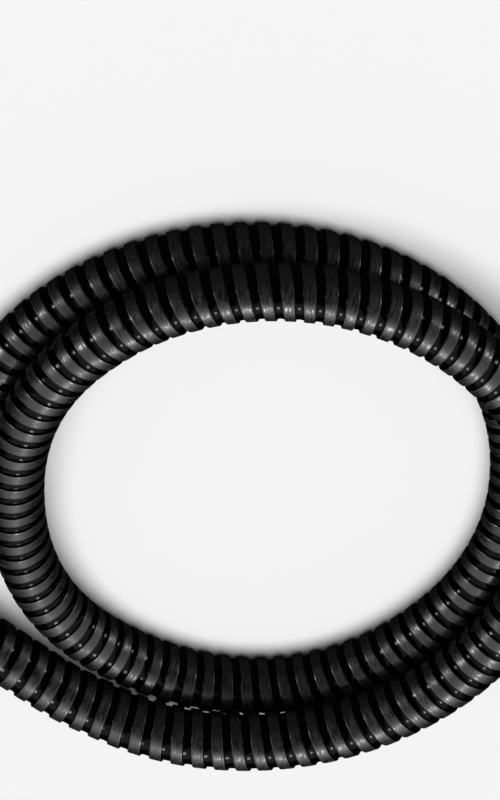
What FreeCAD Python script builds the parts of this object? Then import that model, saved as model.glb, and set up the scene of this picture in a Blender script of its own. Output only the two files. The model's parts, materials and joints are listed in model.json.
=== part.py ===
# Pool vacuum hose: one ribbed hose in two loose turns, the upper one resting on the lower one, with
# a plain cuff glued on its lower end and a swivel cuff on its outer end.
# Millimetres. +Z is up, the floor is z = 0 and the origin is under the middle of the whole part.
import FreeCAD, Part
import math
import os

# Hose section and ribs
hose_radius = 24.0
bore_radius = 18.6
groove_depth = 3.0
rib_pitch = 16.7
crest_length = 10.6
flank_length = 1.2
floor_flat = 0.5
floor_rib = 30

# Coil seen from above: its radius at each eighth of a turn, clockwise from the +X side
eighth_turn = 45.0
coil_radii = [249, 241, 236, 225, 207, 204, 215, 212,
              200, 222, 235, 237, 236, 231, 237, 262, 289]
start_angle = 20.0
end_angle = 674.0
angle_step = 0.5

# Heights: where the hose climbs a layer, settles on the turn below and slips off it to the floor
rest_gap = 1.2
climb_from = 300.0
climb_to = 415.0
settle_from = 395.0
settle_to = 435.0
lean_limit = 42.0
cuff_slope_to = 45.0
tail_from = 650.0
tail_height = 43.6
tail_slope = -0.11

# Both ends run straight, the last of it in a glued socket
lower_free_run = 24.0
outer_free_run = 70.0
socket_depth = 36.0
glue_gap = 0.15

# Cuffs
cuff_bore = 19.1
socket_wall = 2.85
grip_height = 1.0
grip_width = 2.6
grip_count = 20
grip_inset = 4.0
edge_chamfer = 1.0
nose_wall = 5.4
nose_length = 42.0
nose_taper = 6.0

# Swivel: the collar's flange turns inside the swivel cuff, between a retainer and a slip washer
collar_front = 3.0
neck_radius = 21.6
neck_length = 6.2
flange_radius = 25.2
flange_thickness = 3.0
spigot_length = 11.0
turn_gap = 0.3
end_play = 0.2
housing_wall = 4.5
housing_gap = 1.2
retainer_thickness = 2.0
retainer_bite = 1.4
retainer_gap = 0.3
groove_play = 0.1
washer_thickness = 1.0
seal_section = 0.8
seal_groove_depth = 1.5
seal_groove_width = 2.2
seal_distance = 4.4
seal_gap = 0.05

up = FreeCAD.Vector(0, 0, 1)


def smooth(value):
    t = min(max(value, 0.0), 1.0)
    return t * t * t * (10 - 15 * t + 6 * t * t)


def coil_radius(angle):
    # A smooth curve through the radii of the eighth turns
    place = angle / eighth_turn
    first = min(max(int(place), 0), len(coil_radii) - 2)
    t = place - first
    inner = coil_radii[first]
    outer = coil_radii[first + 1]
    before = coil_radii[first - 1] if first > 0 else 2 * inner - outer
    after = coil_radii[first + 2] if first + 2 < len(coil_radii) else 2 * outer - inner
    slope_in = (outer - before) / 2
    slope_out = (after - inner) / 2
    return ((2 * t ** 3 - 3 * t ** 2 + 1) * inner + (t ** 3 - 2 * t ** 2 + t) * slope_in
            + (3 * t ** 2 - 2 * t ** 3) * outer + (t ** 3 - t ** 2) * slope_out)


def axis_height(angle):
    # The lower turn lies on the floor, and the upper one rests in contact beside or on top of it
    floor_height = hose_radius - floor_flat
    layer = 2 * hose_radius + rest_gap
    lean = min(abs(coil_radius(angle) - coil_radius(angle - 360)), lean_limit)
    resting = math.sqrt(layer ** 2 - lean ** 2)
    settled = smooth((angle - settle_from) / (settle_to - settle_from))
    climb = smooth((angle - climb_from) / (climb_to - climb_from))
    height = floor_height + climb * ((1 - settled) * layer + settled * resting)
    to_cuff = 1 - smooth((angle - start_angle) / (cuff_slope_to - start_angle))
    height += to_cuff * (socket_radius + socket_wall + grip_height - floor_height)
    tail = smooth((angle - tail_from) / (end_angle - tail_from))
    run = math.radians(angle - end_angle) * coil_radius(end_angle)
    return (1 - tail) * height + tail * (tail_height + tail_slope * run)


def coil_point(angle):
    turned = math.radians(angle)
    radius = coil_radius(angle)
    return FreeCAD.Vector(radius * math.cos(turned), -radius * math.sin(turned), axis_height(angle))


def route_points():
    # The hose's axis: a straight run, the two turns and a straight run
    steps = int((end_angle - start_angle) / angle_step)
    turns = [coil_point(start_angle + i * (end_angle - start_angle) / steps) for i in range(steps + 1)]
    back = (turns[0] - turns[1]).normalize()
    ahead = (turns[-1] - turns[-2]).normalize()
    lower_end = turns[0] + back * (lower_free_run + socket_depth)
    outer_end = turns[-1] + ahead * (outer_free_run + socket_depth)
    return [lower_end] + turns + [outer_end]


def measure(points):
    # Length of the axis up to each of its points
    lengths = [0.0]
    for first, second in zip(points, points[1:]):
        lengths.append(lengths[-1] + (second - first).Length)
    return lengths


def tangents(points):
    result = [(points[1] - points[0]).normalize()]
    for before, after in zip(points, points[2:]):
        result.append((after - before).normalize())
    result[1] = result[0]
    result.append((points[-1] - points[-2]).normalize())
    result[-2] = result[-1]
    return result


def frame_at(distance):
    # Placement of the section at a distance along the axis: local Z ahead, local X always upward
    low, high = 0, len(route) - 1
    while high - low > 1:
        middle = (low + high) // 2
        if lengths[middle] <= distance:
            low = middle
        else:
            high = middle
    part = (distance - lengths[low]) / (lengths[high] - lengths[low])
    centre = route[low] + (route[high] - route[low]) * part
    ahead = (directions[low] * (1 - part) + directions[high] * part).normalize()
    upward = (up - ahead * up.dot(ahead)).normalize()
    turn = FreeCAD.Rotation(upward, ahead.cross(upward), ahead, "ZXY")
    return FreeCAD.Placement(centre, turn)


def ring(distance, radius):
    wire = Part.Wire(Part.makeCircle(radius))
    wire.Placement = frame_at(distance)
    return wire


def hose_solid():
    # Outside: four circles to each rib. Inside: a plain bore, one circle to each rib.
    groove_radius = hose_radius - groove_depth
    outside = [ring(0, hose_radius)]
    inside = [ring(0, bore_radius)]
    for i in range(rib_count):
        start = socket_depth + i * rib_spacing
        outside.append(ring(start, hose_radius))
        outside.append(ring(start + crest_length, hose_radius))
        outside.append(ring(start + crest_length + flank_length, groove_radius))
        outside.append(ring(start + rib_spacing - flank_length, groove_radius))
        inside.append(ring(start, bore_radius))
    for radius, rings in ((hose_radius, outside), (bore_radius, inside)):
        rings.append(ring(hose_length - socket_depth, radius))
        rings.append(ring(hose_length, radius))
    skin = Part.makeLoft(outside, True, True)
    bore = Part.makeLoft(inside, True, True)
    floor = Part.makeBox(floor_size, floor_size, hose_radius)
    floor.translate(FreeCAD.Vector(-floor_size / 2, -floor_size / 2, -hose_radius))
    return skin.cut(bore).cut(floor)


def turned(profile, placement):
    # A solid of revolution from (distance along the axis, radius) corners
    corners = [FreeCAD.Vector(radius, 0, along) for along, radius in profile]
    face = Part.Face(Part.makePolygon(corners + corners[:1]))
    solid = face.revolve(FreeCAD.Vector(0, 0, 0), up, 360)
    solid.Placement = placement
    return solid


def add_grips(body, radius, start, length, placement):
    # Lengthwise finger grips round a sleeve, sunk a little into its wall
    sunk = socket_wall / 2
    for i in range(grip_count):
        grip = Part.makeBox(grip_height + sunk, grip_width, length)
        grip.translate(FreeCAD.Vector(radius - sunk, -grip_width / 2, start))
        grip.rotate(FreeCAD.Vector(0, 0, 0), up, 360 * i / grip_count)
        grip.Placement = placement.multiply(grip.Placement)
        body = body.fuse(grip)
    return body.removeSplitter()


def end_frame(distance, outward):
    # Local Z points out of the hose, from its end face
    place = frame_at(distance)
    if outward:
        return place
    flip = FreeCAD.Rotation(FreeCAD.Vector(1, 0, 0), 180)
    return FreeCAD.Placement(place.Base, place.Rotation.multiply(flip))


def fixed_cuff_solid(placement):
    sleeve = socket_radius + socket_wall
    nose = cuff_bore + nose_wall
    profile = [(-socket_depth, socket_radius + edge_chamfer),
               (-socket_depth + edge_chamfer, socket_radius),
               (0, socket_radius),
               (0, cuff_bore),
               (nose_length - edge_chamfer, cuff_bore),
               (nose_length, cuff_bore + edge_chamfer),
               (nose_length, nose - edge_chamfer),
               (nose_length - edge_chamfer, nose),
               (nose_taper, nose),
               (0, sleeve),
               (-socket_depth + edge_chamfer, sleeve),
               (-socket_depth, sleeve - edge_chamfer)]
    body = turned(profile, placement)
    length = socket_depth - grip_inset - edge_chamfer
    return add_grips(body, sleeve, -socket_depth + grip_inset, length, placement)


def collar_solid(placement):
    sleeve = socket_radius + socket_wall
    seal_start = spigot_start + seal_distance
    seal_bottom = neck_radius - seal_groove_depth
    profile = [(-socket_depth, socket_radius + edge_chamfer),
               (-socket_depth + edge_chamfer, socket_radius),
               (0, socket_radius),
               (0, bore_radius),
               (spigot_end, bore_radius),
               (spigot_end, neck_radius),
               (seal_start + seal_groove_width, neck_radius),
               (seal_start + seal_groove_width, seal_bottom),
               (seal_start, seal_bottom),
               (seal_start, neck_radius),
               (spigot_start, neck_radius),
               (spigot_start, flange_radius),
               (flange_start, flange_radius),
               (flange_start, neck_radius),
               (collar_front, neck_radius),
               (collar_front, sleeve - edge_chamfer),
               (collar_front - edge_chamfer, sleeve),
               (-socket_depth + edge_chamfer, sleeve),
               (-socket_depth, sleeve - edge_chamfer)]
    body = turned(profile, placement)
    length = socket_depth - grip_inset - edge_chamfer
    return add_grips(body, sleeve, -socket_depth + grip_inset, length, placement)


def swivel_cuff_solid(placement):
    housing_bore = flange_radius + turn_gap
    housing = housing_bore + housing_wall
    groove = housing_bore + retainer_bite + groove_play
    guide = neck_radius + turn_gap
    nose = cuff_bore + nose_wall
    taper_end = guide_end + nose_taper
    mouth = guide_end + nose_length
    profile = [(housing_start, housing_bore),
               (retainer_start - groove_play, housing_bore),
               (retainer_start - groove_play, groove),
               (retainer_end, groove),
               (retainer_end, housing_bore),
               (shoulder, housing_bore),
               (shoulder, guide),
               (guide_end, guide),
               (guide_end, cuff_bore),
               (mouth - edge_chamfer, cuff_bore),
               (mouth, cuff_bore + edge_chamfer),
               (mouth, nose - edge_chamfer),
               (mouth - edge_chamfer, nose),
               (taper_end, nose),
               (shoulder + housing_wall, housing),
               (housing_start + edge_chamfer, housing),
               (housing_start, housing - edge_chamfer)]
    return turned(profile, placement)


def washer_ring(start, thickness, inner, outer, placement):
    profile = [(start, inner), (start, outer), (start + thickness, outer), (start + thickness, inner)]
    return turned(profile, placement)


def seal_solid(placement):
    middle = spigot_start + seal_distance + seal_groove_width / 2
    centre_radius = neck_radius - seal_groove_depth + seal_gap + seal_section
    ring_solid = Part.makeTorus(centre_radius, seal_section, FreeCAD.Vector(0, 0, middle), up)
    ring_solid.Placement = placement.multiply(ring_solid.Placement)
    return ring_solid


def least_self_gap():
    # Smallest distance between two places of the hose that are over half a turn apart along it
    half_turn = math.pi * min(coil_radii)
    spacing = 6.0
    count = int(lengths[-1] / spacing)
    places = [frame_at(i * spacing).Base for i in range(count + 1)]
    apart = int(half_turn / spacing)
    least = min((places[i] - places[j]).Length
                for i in range(len(places)) for j in range(i + apart, len(places)))
    return least - 2 * hose_radius


def least_bend():
    # Smallest bend radius of the axis, from three points a hose diameter apart
    step = 2 * hose_radius
    count = int(lengths[-1] / step)
    places = [frame_at(i * step).Base for i in range(count + 1)]
    radii = []
    for a, b, c in zip(places, places[1:], places[2:]):
        area = (b - a).cross(c - a).Length
        if area > 1:
            radii.append((b - a).Length * (c - b).Length * (c - a).Length / (2 * area))
    return min(radii)


socket_radius = hose_radius + glue_gap
flange_start = collar_front + neck_length
spigot_start = flange_start + flange_thickness
spigot_end = spigot_start + spigot_length
retainer_end = flange_start - retainer_gap
retainer_start = retainer_end - retainer_thickness
housing_start = collar_front + housing_gap
shoulder = spigot_start + washer_thickness + end_play
guide_end = spigot_end + turn_gap

route = route_points()
lengths = measure(route)
directions = tangents(route)
hose_length = lengths[-1]
ribbed_length = hose_length - 2 * socket_depth
rib_count = round(ribbed_length / rib_pitch)
rib_spacing = ribbed_length / rib_count
floor_size = 4 * max(coil_radii)
lower_frame = end_frame(0, False)
outer_frame = end_frame(hose_length, True)

nodes = {"hose_coil": hose_solid(),
         "fixed_cuff": fixed_cuff_solid(lower_frame),
         "swivel_collar": collar_solid(outer_frame),
         "swivel_cuff": swivel_cuff_solid(outer_frame),
         "swivel_retainer": washer_ring(retainer_start, retainer_thickness, neck_radius + turn_gap,
                                        flange_radius + turn_gap + retainer_bite, outer_frame),
         "swivel_washer": washer_ring(spigot_start, washer_thickness, neck_radius + turn_gap,
                                      flange_radius, outer_frame),
         "swivel_seal": seal_solid(outer_frame)}

box = FreeCAD.BoundBox()
for shape in nodes.values():
    box.add(shape.optimalBoundingBox(False))
to_origin = FreeCAD.Vector(-box.Center.x, -box.Center.y, 0)

os.makedirs("parts", exist_ok=True)
for name, shape in nodes.items():
    shape.translate(to_origin)
    shape.exportStep("parts/" + name + ".step")
    print(name, "valid", shape.isValid(), "solids", len(shape.Solids), "faces", len(shape.Faces),
          "volume", round(shape.Volume, 1))

print("ribs", rib_count, "spacing", round(rib_spacing, 3), "hose length", round(hose_length, 1))
print("box", box, "moved by", to_origin)
print("least gap of the hose to itself", round(least_self_gap(), 2))
print("least bend radius of its axis", round(least_bend(), 1))
for label, place, bore_start in (("lower end", lower_frame, 0), ("outer end", outer_frame, guide_end)):
    outward = place.Rotation.multVec(up)
    bore_length = nose_length - edge_chamfer
    middle = place.Base + to_origin + outward * (bore_start + bore_length / 2)
    print(label, "seat", place.Base + to_origin, "axis", outward, "bore middle", middle, bore_length)
crest_middle = socket_depth + floor_rib * rib_spacing + crest_length / 2
flat = frame_at(crest_middle).Base + to_origin
print("flat on the floor", round(flat.x, 3), round(flat.y, 3), "axis height", round(flat.z, 3))
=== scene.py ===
# Pool vacuum hose lying in two loose turns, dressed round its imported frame. Metres, +Z up, floor at z = 0.
import bpy
import bmesh
import json
import math
from bisect import bisect_right
from mathutils import Matrix, Vector


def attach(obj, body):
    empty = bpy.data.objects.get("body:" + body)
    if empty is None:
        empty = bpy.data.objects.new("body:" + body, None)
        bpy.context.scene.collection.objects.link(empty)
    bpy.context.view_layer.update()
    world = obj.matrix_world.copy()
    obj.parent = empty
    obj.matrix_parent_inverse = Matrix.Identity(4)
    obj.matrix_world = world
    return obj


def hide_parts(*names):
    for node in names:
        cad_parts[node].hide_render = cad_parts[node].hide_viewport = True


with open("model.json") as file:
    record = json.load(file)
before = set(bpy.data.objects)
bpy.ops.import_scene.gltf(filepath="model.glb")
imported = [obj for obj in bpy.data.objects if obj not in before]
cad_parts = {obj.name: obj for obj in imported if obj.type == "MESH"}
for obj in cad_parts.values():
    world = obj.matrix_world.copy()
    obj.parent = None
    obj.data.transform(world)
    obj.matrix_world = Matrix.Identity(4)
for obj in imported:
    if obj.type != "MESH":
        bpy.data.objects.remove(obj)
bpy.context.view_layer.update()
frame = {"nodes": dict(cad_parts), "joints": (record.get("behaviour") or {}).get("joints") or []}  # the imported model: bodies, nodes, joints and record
scene = bpy.context.scene
up = Vector((0, 0, 1))
mm = 0.001

# The photograph's view: from the -Y side, looking down at the floor, with the camera held upside down
camera = {
    "aim": (-26.1 * mm, -85.4 * mm, 23.5 * mm),
    "elevation": 51.5,
    "roll": 180,
    "distance": 16,
    "seenHeight": 645.4 * mm,  # what the picture's 800 px cover at the aim
    "clip": (1, 60),
}

# The coil, in millimetres and degrees: its radius at each eighth of a turn, clockwise from the +X side.
# Four radii are 1 or 2 mm less than the part's, the turns lie closer and the climb is more even,
# to follow the photograph.
coil = {
    "radii": [249, 241, 236, 225, 207, 204, 214, 211, 200, 220, 234, 237, 236, 231, 237, 262, 289],
    "eighth": 45,
    "startAngle": 20,
    "endAngle": 674,
    "pointStep": 6,
    "restGap": 0.6,  # between the ribs of the two turns
    "climb": (300, 415),  # where the hose climbs onto its lower turn
    "climbEase": 0.3,  # 0 for a straight slope, 1 for a soft start and end
    "settle": (395, 435),  # where it comes to lean beside that turn
    "leanLimit": 42,  # the most that one turn lies beside the other
    "cuffSlopeTo": 45,
    "cuffLift": 28.0,  # height of the lower end, whose cuff lies on its grips
    "tailFrom": 650,  # from here on the upper end comes down towards its cuff
    "tailHeight": 43.6,
    "tailSlope": -0.11,
    "lowerRun": 24,  # straight runs from the turns to the cuffs
    "outerRun": 70,
    "endStep": 0.5,  # over which the direction of an end is read
    "floorFlat": 0.5,
    "splineSteps": 6,
}

# The hose's section, in millimetres and degrees: one rib that runs round it as a spiral
hose = {
    "radius": 24.0,
    "boreRadius": 18.6,
    "grooveDepth": 2.1,
    # the groove's floor, as shares of its width and depth
    "groove": [(0.07, 0.86), (0.3, 0.965), (0.5, 1.0), (0.7, 0.965), (0.93, 0.86)],
    "ribPitch": 16.7,
    "crest": 9.6,
    "edgeRound": 0.5,
    "flatFrom": 1.5,
    "socket": 36,
    "columns": 48,
    "sharpFrom": 35,
    "boreStep": 33,
    "weldUnder": 0.01,  # points closer than this become one
    "rimReach": 1.2,  # how far from an end's middle its open rims lie at most, in radii
}


def smoothStep(value):
    t = min(max(value, 0), 1)
    return t * t * t * (10 - 15 * t + 6 * t * t)


def coilRadius(angle):
    # a smooth curve through the radii of the eighth turns
    radii = coil["radii"]
    place = angle / coil["eighth"]
    first = min(max(int(place), 0), len(radii) - 2)
    t = place - first
    near, far = radii[first], radii[first + 1]
    before = radii[first - 1] if first > 0 else 2 * near - far
    after = radii[first + 2] if first + 2 < len(radii) else 2 * far - near
    return ((2 * t ** 3 - 3 * t ** 2 + 1) * near + (t ** 3 - 2 * t ** 2 + t) * (far - before) / 2
            + (3 * t ** 2 - 2 * t ** 3) * far + (t ** 3 - t ** 2) * (after - near) / 2)


def axisHeight(angle):
    # the lower turn lies on the floor, and the upper one rests beside or on top of it
    floorHeight = hose["radius"] - coil["floorFlat"]
    layer = 2 * hose["radius"] + coil["restGap"]
    lean = min(abs(coilRadius(angle) - coilRadius(angle - 360)), coil["leanLimit"])
    resting = math.sqrt(layer ** 2 - lean ** 2)
    climbFrom, climbTo = coil["climb"]
    settleFrom, settleTo = coil["settle"]
    settled = smoothStep((angle - settleFrom) / (settleTo - settleFrom))
    climbed = min(max((angle - climbFrom) / (climbTo - climbFrom), 0), 1)
    climb = climbed - coil["climbEase"] * math.sin(2 * math.pi * climbed) / (2 * math.pi)
    height = floorHeight + climb * ((1 - settled) * layer + settled * resting)
    toCuff = 1 - smoothStep((angle - coil["startAngle"]) / (coil["cuffSlopeTo"] - coil["startAngle"]))
    height += toCuff * (coil["cuffLift"] - floorHeight)
    tail = smoothStep((angle - coil["tailFrom"]) / (coil["endAngle"] - coil["tailFrom"]))
    run = math.radians(angle - coil["endAngle"]) * coilRadius(coil["endAngle"])
    return (1 - tail) * height + tail * (coil["tailHeight"] + coil["tailSlope"] * run)


def coilPoint(angle, swell=1.0):
    turned = math.radians(angle)
    radius = coilRadius(angle) * swell
    return Vector((radius * math.cos(turned), -radius * math.sin(turned), axisHeight(angle)))


def routeControls():
    # control points of the hose's axis: a straight run, the turns, a straight run
    start, end, endStep = coil["startAngle"], coil["endAngle"], coil["endStep"]
    steps = round((end - start) / coil["pointStep"])
    step = (end - start) / steps
    swell = 1 / math.cos(math.radians(step / 2))  # the spline runs this much inside its points
    first, last = coilPoint(start), coilPoint(end)
    back = (first - coilPoint(start + endStep)).normalized()
    ahead = (last - coilPoint(end - endStep)).normalized()
    lowerEnd = first + back * (coil["lowerRun"] + hose["socket"])
    outerEnd = last + ahead * (coil["outerRun"] + hose["socket"])
    turns = [coilPoint(start + i * step, swell) for i in range(1, steps)]
    points = [lowerEnd, lowerEnd - back * hose["socket"], first, *turns, last,
              outerEnd - ahead * hose["socket"], outerEnd]
    seat = Vector(frame["joints"][0]["pos_m"])  # the outer end's seat, which the swivel turns about
    return [seat + (point - outerEnd) * mm for point in points]


def splineLine(name, controls):
    # the points that one smooth spline follows
    curve = bpy.data.curves.new(name, "CURVE")
    curve.dimensions = "3D"
    curve.resolution_u = coil["splineSteps"]
    spline = curve.splines.new("NURBS")
    spline.points.add(len(controls) - 1)
    for point, control in zip(spline.points, controls):
        point.co = (*control, 1)
    spline.order_u = 3
    spline.use_endpoint_u = True
    holder = bpy.data.objects.new(name, curve)
    mesh = bpy.data.meshes.new_from_object(holder)
    line = [vertex.co.copy() for vertex in mesh.vertices]
    bpy.data.objects.remove(holder)
    bpy.data.meshes.remove(mesh)
    return line


class Route:
    # places along a line by their distance from its start
    def __init__(self, line):
        self.line = line
        self.lengths = [0.0]
        for near, far in zip(line, line[1:]):
            self.lengths.append(self.lengths[-1] + (far - near).length)
        self.length = self.lengths[-1]
        inner = [(after - before).normalized() for before, after in zip(line, line[2:])]
        self.ahead = [(line[1] - line[0]).normalized(), *inner, (line[-1] - line[-2]).normalized()]

    def at(self, distance):
        # centre, upward and sideways directions of the section there
        i = min(max(bisect_right(self.lengths, distance) - 1, 0), len(self.line) - 2)
        part = (distance - self.lengths[i]) / (self.lengths[i + 1] - self.lengths[i])
        centre = self.line[i].lerp(self.line[i + 1], part)
        ahead = self.ahead[i].lerp(self.ahead[i + 1], part).normalized()
        upward = (up - ahead * up.dot(ahead)).normalized()
        return centre, upward, ahead.cross(upward)


def ribProfile():
    # one pitch of the outside, as (place along the hose, radius): a flat rib with rounded edges,
    # then a shallow round groove
    radius, crest, edge, depth = hose["radius"], hose["crest"], hose["edgeRound"], hose["grooveDepth"]
    width = hose["ribPitch"] - crest
    rounding = [(edge * (1 - math.cos(turn)), edge * (1 - math.sin(turn)))
                for turn in (math.radians(45), math.radians(90))]
    rounding.append((hose["flatFrom"], 0))
    return [*((along, radius - drop) for along, drop in rounding),
            *((crest - along, radius - drop) for along, drop in rounding[::-1]),
            *((crest + width * share, radius - depth * drop) for share, drop in hose["groove"])]


def buildHose(route):
    columns = hose["columns"]
    socket = hose["socket"] * mm
    radius = hose["radius"] * mm
    ribbed = route.length - 2 * socket
    ribCount = round(ribbed / (hose["ribPitch"] * mm))
    pitch = ribbed / ribCount
    profile = [(along / hose["ribPitch"], height * mm) for along, height in ribProfile()]
    crestEnd = hose["crest"] / hose["ribPitch"]
    lastOnRib = max(row for row, (along, _) in enumerate(profile) if along < crestEnd)
    vertices, faces, wraps = [], [], []
    # the grooves' material also paints shade into the grooves and the bore
    skins = []  # each face's material: 0 for the ribs, 1 for the grooves and the bore

    def addVertex(distance, angle, reach):
        centre, upward, sideways = route.at(distance)
        place = centre + reach * (math.cos(angle) * upward + math.sin(angle) * sideways)
        place.z = max(place.z, 0)  # pressed flat where it lies on the floor
        vertices.append(place)
        wraps.append((radius * math.cos(angle), radius * math.sin(angle), distance))

    def addGrid(first, rows, shift, inward):
        # quads between rows; past the last column a row joins the row that is shift further on
        for row in range(rows - max(shift, 1)):
            for column in range(columns):
                ahead = column + 1
                jump = shift if ahead == columns else 0
                ahead %= columns
                a = first + row * columns + column
                b = first + (row + jump) * columns + ahead
                corners = [a, b, b + columns, a + columns]
                if max(corners) < first + rows * columns:
                    faces.append(corners[::-1] if inward else corners)
                    skins.append(0 if row % len(profile) < lastOnRib and not inward else 1)

    # outside: the spiral's rows, stopped at both ends, where they come out plain in their sockets
    turnsBefore = math.ceil(socket / pitch) + 1
    rows = 0
    for turn in range(-turnsBefore, ribCount + turnsBefore):
        for along, reach in profile:
            for column in range(columns):
                angle = 2 * math.pi * column / columns
                distance = socket + (turn + along + column / columns) * pitch
                fromEnd = min(distance - socket, route.length - socket - distance)
                cut = smoothStep(fromEnd / pitch)
                held = min(max(distance, 0), route.length)
                addVertex(held, angle, radius - cut * (radius - reach))
            rows += 1
    addGrid(0, rows, len(profile), False)

    # inside: a plain bore
    first = len(vertices)
    boreRows = round(route.length / (hose["boreStep"] * mm)) + 1
    for row in range(boreRows):
        for column in range(columns):
            addVertex(route.length * row / (boreRows - 1), 2 * math.pi * column / columns,
                      hose["boreRadius"] * mm)
    addGrid(first, boreRows, 0, True)

    mesh = bpy.data.meshes.new("hose")
    mesh.from_pydata(vertices, [], faces)
    wrap = mesh.attributes.new("wrap", "FLOAT_VECTOR", "POINT")
    wrap.data.foreach_set("vector", [value for place in wraps for value in place])
    mesh.polygons.foreach_set("material_index", skins)
    shape = bmesh.new()
    shape.from_mesh(mesh)
    bmesh.ops.remove_doubles(shape, verts=shape.verts, dist=hose["weldUnder"] * mm)
    rims = [edge for edge in shape.edges if edge.is_boundary]
    rimReach = hose["rimReach"] * radius
    for distance in (0, route.length):
        middle = route.at(distance)[0]
        rim = [edge for edge in rims if (edge.verts[0].co - middle).length < rimReach]
        bmesh.ops.bridge_loops(shape, edges=rim)
    bmesh.ops.recalc_face_normals(shape, faces=shape.faces)
    shape.to_mesh(mesh)
    shape.free()
    for face in mesh.polygons:
        face.use_smooth = True
    mesh.set_sharp_from_angle(angle=math.radians(hose["sharpFrom"]))
    piece = bpy.data.objects.new("ribbed_hose", mesh)
    scene.collection.objects.link(piece)
    return piece, ribCount


# Camera
lens = bpy.data.cameras.new("camera")
lens.lens = lens.sensor_width * camera["distance"] / camera["seenHeight"]
lens.clip_start, lens.clip_end = camera["clip"]
view = bpy.data.objects.new("camera", lens)
scene.collection.objects.link(view)
rise = math.radians(camera["elevation"])
towards = Vector((0, -math.cos(rise), math.sin(rise)))
view.location = Vector(camera["aim"]) + towards * camera["distance"]
level = towards.to_track_quat("Z", "Y").to_matrix()
view.rotation_euler = (level @ Matrix.Rotation(math.radians(camera["roll"]), 3, "Z")).to_euler()
scene.camera = view
print("camera", [round(value, 3) for value in view.location], "lens", round(lens.lens, 1))

# Hose
line = splineLine("hose axis", routeControls())
route = Route(line)
ribbedHose, ribCount = buildHose(route)
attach(ribbedHose, "hose")
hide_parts("hose_coil")
faceCount = len(ribbedHose.data.polygons)
print("hose", round(route.length, 4), "m,", ribCount, "turns of its rib,", faceCount, "faces")


# Materials
def newMaterial(name):
    material = bpy.data.materials.new(name)
    material.use_nodes = True
    nodes = material.node_tree.nodes
    return material, nodes, material.node_tree.links, nodes["Principled BSDF"]


def addNode(nodes, kind, settings=None, **values):
    node = nodes.new(kind)
    for name, value in (settings or {}).items():
        setattr(node, name, value)
    for name, value in values.items():
        node.inputs[name].default_value = value
    return node


def feed(links, sockets, values):
    # each socket gets its number, or a link from another node's output
    for socket, value in zip(sockets, values):
        if isinstance(value, (int, float)):
            socket.default_value = value
        else:
            links.new(value, socket)


def grain(material, place, sizes, detail, roughness):
    # noise with grains of these sizes in millimetres in the three directions of its place,
    # with this many finer layers, each this share as strong as the one before
    nodes, links = material.node_tree.nodes, material.node_tree.links
    scaled = addNode(nodes, "ShaderNodeVectorMath", {"operation": "DIVIDE"})
    scaled.inputs[1].default_value = [size * mm for size in sizes]
    noise = addNode(nodes, "ShaderNodeTexNoise", Scale=1.0, Detail=detail, Roughness=roughness)
    links.new(place, scaled.inputs[0])
    links.new(scaled.outputs["Vector"], noise.inputs["Vector"])
    return noise.outputs["Fac"]


def ranged(material, value, low, high, toLow, toHigh):
    nodes, links = material.node_tree.nodes, material.node_tree.links
    change = nodes.new("ShaderNodeMapRange")
    feed(links, change.inputs[:5], (value, low, high, toLow, toHigh))
    return change.outputs["Result"]


def toned(material, value, low, high, first, second):
    # the first colour up to low, the second from high on
    nodes, links = material.node_tree.nodes, material.node_tree.links
    ramp = nodes.new("ShaderNodeValToRGB")
    for element, position, colour in zip(ramp.color_ramp.elements, (low, high), (first, second)):
        element.position = position
        element.color = (*colour, 1)
    links.new(value, ramp.inputs["Fac"])
    return ramp.outputs["Color"]


def joined(material, operation, first, second):
    nodes, links = material.node_tree.nodes, material.node_tree.links
    answer = addNode(nodes, "ShaderNodeMath", {"operation": operation})
    feed(links, answer.inputs, (first, second))
    return answer.outputs["Value"]


def raised(material, reliefs):
    # bumps on the surface from (pattern, height in millimetres) pairs
    nodes, links = material.node_tree.nodes, material.node_tree.links
    height = 0.0
    for pattern, tall in reliefs:
        height = joined(material, "ADD", joined(material, "MULTIPLY", pattern, tall * mm), height)
    bump = addNode(nodes, "ShaderNodeBump", Strength=1.0, Distance=1.0)
    links.new(height, bump.inputs["Height"])
    links.new(bump.outputs["Normal"], nodes["Principled BSDF"].inputs["Normal"])


def blended(material, share, first, second):
    nodes, links = material.node_tree.nodes, material.node_tree.links
    mix = addNode(nodes, "ShaderNodeMix", {"data_type": "FLOAT"})
    feed(links, (mix.inputs["Factor"], mix.inputs["A"], mix.inputs["B"]), (share, first, second))
    return mix.outputs["Result"]


# The hose's two skins, in millimetres. A pattern is its grain sizes, its finer layers and their share.
ribSkin = {
    "specular": 0.5,
    "streaks": ((11, 11, 1.0), 2, 0.55),
    "patches": ((3.4, 3.4, 2.2), 2, 0.5),
    "patchShare": 0.3,
    "roughness": (0.25, 0.56),
    "roughFrom": (0.4, 0.6),  # the wear between which the roughness changes
    "tone": (0.0005, 0.003),
    "toneFrom": (0.36, 0.64),
    "streakHeight": 0.035,
    "patchHeight": 0.09,
}
# The grooves' tone, darker than the ribs', and their weak specular are partly the softer wall's own finish
# and partly painted shade in the grooves and the bore.
grooveSkin = {
    "specular": 0.055,
    "specks": ((2.5, 2.5, 0.8), 2, 0.5),
    "speckFrom": (0.35, 0.65),
    "roughness": (0.12, 0.17),
    "tone": (0.0002, 0.0005),
    "speckHeight": 0.004,
}


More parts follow.
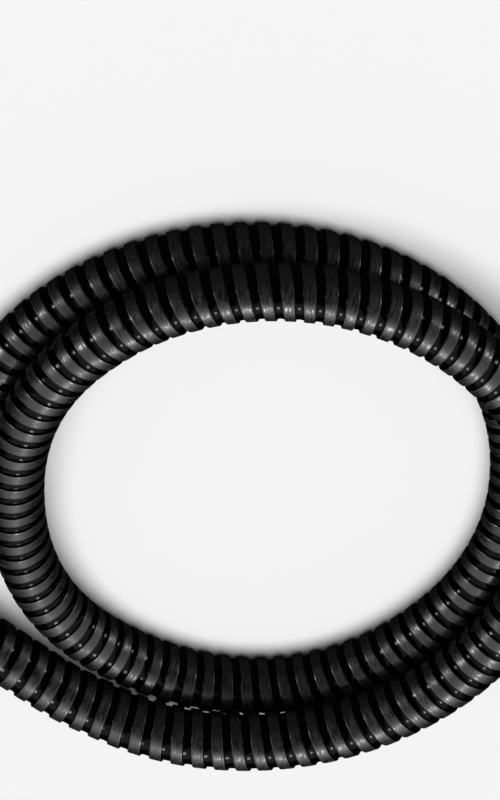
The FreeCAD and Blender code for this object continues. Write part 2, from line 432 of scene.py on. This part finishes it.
def ribPlastic():
    # satin ribs, streaked the way they were drawn round the hose
    material, nodes, links, surface = newMaterial("satin rib")
    wrap = addNode(nodes, "ShaderNodeAttribute", {"attribute_name": "wrap"}).outputs["Vector"]
    streaks = grain(material, wrap, *ribSkin["streaks"])
    patches = grain(material, wrap, *ribSkin["patches"])
    worn = blended(material, ribSkin["patchShare"], streaks, patches)
    rough = ranged(material, worn, *ribSkin["roughFrom"], *ribSkin["roughness"])
    tone = ranged(material, worn, *ribSkin["toneFrom"], *ribSkin["tone"])
    links.new(rough, surface.inputs["Roughness"])
    links.new(tone, surface.inputs["Base Color"])
    raised(material, [(streaks, ribSkin["streakHeight"]), (patches, ribSkin["patchHeight"])])
    surface.inputs["Specular IOR Level"].default_value = ribSkin["specular"]
    return material


def groovePlasticAndShade():
    # the thin softer wall between the ribs, and the bore; its darker tone and weak gloss also paint the
    # shade that lies deep in the grooves
    material, nodes, links, surface = newMaterial("soft groove and painted shade")
    wrap = addNode(nodes, "ShaderNodeAttribute", {"attribute_name": "wrap"}).outputs["Vector"]
    specks = grain(material, wrap, *grooveSkin["specks"])
    rough = ranged(material, specks, *grooveSkin["speckFrom"], *grooveSkin["roughness"])
    tone = ranged(material, specks, *grooveSkin["speckFrom"], *grooveSkin["tone"])
    links.new(rough, surface.inputs["Roughness"])
    links.new(tone, surface.inputs["Base Color"])
    raised(material, [(specks, grooveSkin["speckHeight"])])
    surface.inputs["Specular IOR Level"].default_value = grooveSkin["specular"]
    return material


ribbedHose.data.materials.append(ribPlastic())
# the second material darkens the grooves and the bore with painted shade
ribbedHose.data.materials.append(groovePlasticAndShade())

# The cuffs and the swivel's inner rings keep their shapes, and get their finishes here, in millimetres too
cuffs = {
    "tones": ((0.011, 0.011, 0.012), (0.017, 0.017, 0.018)),
    "toneFrom": (0.35, 0.65),
    "wornTone": (0.055, 0.054, 0.053),
    "roughness": (0.33, 0.47),
    "roughFrom": (0.38, 0.62),
    "mottle": ((3, 3, 7), 3, 0.5),
    "drawMarks": ((0.45, 0.45, 16), 3, 0.6),
    "sparks": ((0.3, 0.3, 0.3), 2, 0.5),
    "markShare": 0.5,
    "markHeight": 0.012,
    "sparkHeight": 0.03,
    "mouthWear": 9,  # how far the plastic is scuffed from its mouth
    "mouthShare": 0.35,  # how much sooner it is scuffed there than elsewhere
    "scuffFrom": (0.72, 0.95),
}
rings = {
    "tones": ((0.69, 0.68, 0.635), (0.77, 0.76, 0.72)),
    "roughness": (0.24, 0.42),
    "changeFrom": (0.35, 0.65),
    "mottle": ((3, 3, 3), 3, 0.5),
    "turningMarks": ((4, 4, 0.16), 2, 0.5),
    "markHeight": 0.006,
}
seal = {
    "tones": ((0.010, 0.010, 0.010), (0.024, 0.024, 0.024)),
    "toneFrom": (0.35, 0.65),
    "roughness": (0.25, 0.6),
    "roughFrom": (0.4, 0.6),
    "grease": ((2.2, 2.2, 2.2), 3, 0.55),
    "pores": ((0.2, 0.2, 0.2), 2, 0.5),
    "poreHeight": 0.015,
}


def alongAxis(material, outward):
    # the surface's own place, turned so that its third direction points out of the cuff
    nodes, links = material.node_tree.nodes, material.node_tree.links
    place = nodes.new("ShaderNodeTexCoord")
    turn = outward.to_track_quat("Z", "Y").to_euler()
    turned = addNode(nodes, "ShaderNodeMapping", {"vector_type": "TEXTURE"}, Rotation=turn)
    links.new(place.outputs["Object"], turned.inputs["Vector"])
    return turned.outputs["Vector"]


def cuffPlastic(name, outward, mouth):
    # black moulded plastic: sparked all over, drawn lengthwise from its mould, scuffed round its mouth
    material, nodes, links, surface = newMaterial(name)
    place = alongAxis(material, outward)
    mottle = grain(material, place, *cuffs["mottle"])
    marks = grain(material, place, *cuffs["drawMarks"])
    sparks = grain(material, place, *cuffs["sparks"])
    apart = nodes.new("ShaderNodeSeparateXYZ")
    links.new(place, apart.inputs["Vector"])
    nearMouth = ranged(material, apart.outputs["Z"], mouth - cuffs["mouthWear"] * mm, mouth, 0.0, 1.0)
    wear = joined(material, "ADD", marks, joined(material, "MULTIPLY", nearMouth, cuffs["mouthShare"]))
    scuffs = ranged(material, wear, *cuffs["scuffFrom"], 0.0, 1.0)
    plain = toned(material, mottle, *cuffs["toneFrom"], *cuffs["tones"])
    mix = addNode(nodes, "ShaderNodeMixRGB", {"blend_type": "MIX"}, Color2=(*cuffs["wornTone"], 1))
    links.new(scuffs, mix.inputs["Fac"])
    links.new(plain, mix.inputs["Color1"])
    links.new(mix.outputs["Color"], surface.inputs["Base Color"])
    uneven = blended(material, cuffs["markShare"], mottle, marks)
    rough = ranged(material, uneven, *cuffs["roughFrom"], *cuffs["roughness"])
    links.new(rough, surface.inputs["Roughness"])
    raised(material, [(marks, cuffs["markHeight"]), (sparks, cuffs["sparkHeight"])])
    return material


def slipNylon(outward):
    # off-white nylon, with the fine rings of the turned mould
    material, _, links, surface = newMaterial("slippery nylon")
    place = alongAxis(material, outward)
    mottle = grain(material, place, *rings["mottle"])
    turning = grain(material, place, *rings["turningMarks"])
    tone = toned(material, mottle, *rings["changeFrom"], *rings["tones"])
    rough = ranged(material, turning, *rings["changeFrom"], *rings["roughness"])
    links.new(tone, surface.inputs["Base Color"])
    links.new(rough, surface.inputs["Roughness"])
    raised(material, [(turning, rings["markHeight"])])
    return material


def sealRubber(outward):
    # black rubber, smeared with grease
    material, _, links, surface = newMaterial("greased seal rubber")
    place = alongAxis(material, outward)
    grease = grain(material, place, *seal["grease"])
    pores = grain(material, place, *seal["pores"])
    tone = toned(material, pores, *seal["toneFrom"], *seal["tones"])
    rough = ranged(material, grease, *seal["roughFrom"], *seal["roughness"])
    links.new(tone, surface.inputs["Base Color"])
    links.new(rough, surface.inputs["Roughness"])
    raised(material, [(pores, seal["poreHeight"])])
    return material


def mouthOf(node, outward):
    return max(vertex.co.dot(outward) for vertex in frame["nodes"][node].data.vertices)


fixedEnd, turningEnd = -route.ahead[0], route.ahead[-1]
fixedPlastic = cuffPlastic("fixed cuff plastic", fixedEnd, mouthOf("fixed_cuff", fixedEnd))
turningPlastic = cuffPlastic("swivel cuff plastic", turningEnd, mouthOf("swivel_cuff", turningEnd))
nylon = slipNylon(turningEnd)
finishes = {
    "fixed_cuff": fixedPlastic,
    "swivel_collar": turningPlastic,
    "swivel_cuff": turningPlastic,
    "swivel_retainer": nylon,
    "swivel_washer": nylon,
    "swivel_seal": sealRubber(turningEnd),
}
for node, material in finishes.items():
    for place in frame["nodes"][node].material_slots:
        place.material = material
    print("finish of", node, "is", material.name)

# Floor, lamps and background, in metres and degrees. The wall, the front light and the dark side
# show only in the gloss.
studio = {
    "floorSize": 14,
    "floorDrop": 0.2 * mm,
    "floorColour": 0.885,
    "floorRoughness": 0.9,
    "overheadLamp": {"towards": (0, -0.22, 0.975), "width": 50, "strength": 2.9, "gloss": False},
    "backLamp": {"towards": (0, 0.61, 0.79), "width": 10, "strength": 1.4, "gloss": True},
    "leftLamp": {"towards": (0.86, -0.2, 0.46), "width": 10, "strength": 1.5, "gloss": True},
    "rightLamp": {"towards": (-0.88, -0.34, 0.32), "width": 10, "strength": 1.1, "gloss": True},
    "ambient": 0.14,
    "wallLight": 1.9,
    "wallFrom": (0.2, 0.4),  # how far back the bright wall starts
    "wallSides": 0.55,  # how far its sides come forward
    "wallFoot": (0.2, 0.6),  # where it ends below
    "frontLight": 0.1,
    "frontTo": (-0.95, -0.05),  # between which it fades towards the back
    "darkSide": 0.015,  # all the rest
}
half = studio["floorSize"] / 2
floorMesh = bpy.data.meshes.new("floor")
floorCorners = [(-half, -half, 0), (half, -half, 0), (half, half, 0), (-half, half, 0)]
floorMesh.from_pydata(floorCorners, [], [(0, 1, 2, 3)])
floor = bpy.data.objects.new("floor", floorMesh)
floor.location.z = -studio["floorDrop"]
scene.collection.objects.link(floor)
floor.visible_glossy = False
floorPaint, _, _, surface = newMaterial("pale floor")
surface.inputs["Base Color"].default_value = (*[studio["floorColour"]] * 3, 1)
surface.inputs["Roughness"].default_value = studio["floorRoughness"]
surface.inputs["Specular IOR Level"].default_value = 0
floorMesh.materials.append(floorPaint)


def addLamp(name):
    # a round soft lamp far away, which either lights the matt surfaces or shows in the gloss
    settings = studio[name]
    lamp = bpy.data.lights.new(name, "SUN")
    lamp.energy = settings["strength"]
    lamp.angle = math.radians(settings["width"])
    holder = bpy.data.objects.new(name, lamp)
    holder.rotation_euler = Vector(settings["towards"]).to_track_quat("Z", "Y").to_euler()
    holder.visible_glossy = settings["gloss"]
    holder.visible_diffuse = not settings["gloss"]
    scene.collection.objects.link(holder)


for name in ("overheadLamp", "backLamp", "leftLamp", "rightLamp"):
    addLamp(name)

# The world: even for matt surfaces, a pale wall at the back for gloss, and the floor's colour behind
# everything. As it differs for matt and gloss, it isn't sampled as a lamp.
world = bpy.data.worlds.new("studio")
scene.world = world
world.use_nodes = True
world.cycles.sampling_method = "NONE"
nodes, links = world.node_tree.nodes, world.node_tree.links


def light(strength):
    source = nodes.new("ShaderNodeBackground")
    source.inputs["Color"].default_value = (1, 1, 1, 1)
    source.inputs["Strength"].default_value = studio[strength]
    return source.outputs["Background"]


def between(factor, first, second):
    mix = nodes.new("ShaderNodeMixShader")
    links.new(factor, mix.inputs["Fac"])
    links.new(first, mix.inputs[1])
    links.new(second, mix.inputs[2])
    return mix.outputs["Shader"]


def fading(direction, low, high):
    # rises from 0 to 1 between these values
    share = nodes.new("ShaderNodeMapRange")
    share.interpolation_type = "SMOOTHSTEP"
    share.inputs["From Min"].default_value = low
    share.inputs["From Max"].default_value = high
    links.new(direction, share.inputs["Value"])
    return share.outputs["Result"]


rays = nodes.new("ShaderNodeLightPath")
place = nodes.new("ShaderNodeTexCoord")
parts = nodes.new("ShaderNodeSeparateXYZ")
links.new(place.outputs["Generated"], parts.inputs["Vector"])
backward = parts.outputs["Y"]
sideways = joined(world, "MULTIPLY", joined(world, "ABSOLUTE", parts.outputs["X"], 0), studio["wallSides"])
horseshoe = fading(joined(world, "ADD", backward, sideways), *studio["wallFrom"])
wallShare = joined(world, "MULTIPLY", horseshoe, fading(parts.outputs["Z"], *studio["wallFoot"]))
studioLight = between(fading(backward, *studio["frontTo"]), light("frontLight"), light("darkSide"))
studioLight = between(wallShare, studioLight, light("wallLight"))
studioLight = between(rays.outputs["Is Diffuse Ray"], studioLight, light("ambient"))
studioLight = between(rays.outputs["Is Camera Ray"], studioLight, light("floorColour"))
links.new(studioLight, nodes["World Output"].inputs["Surface"])

scene.view_settings.view_transform = "Standard"
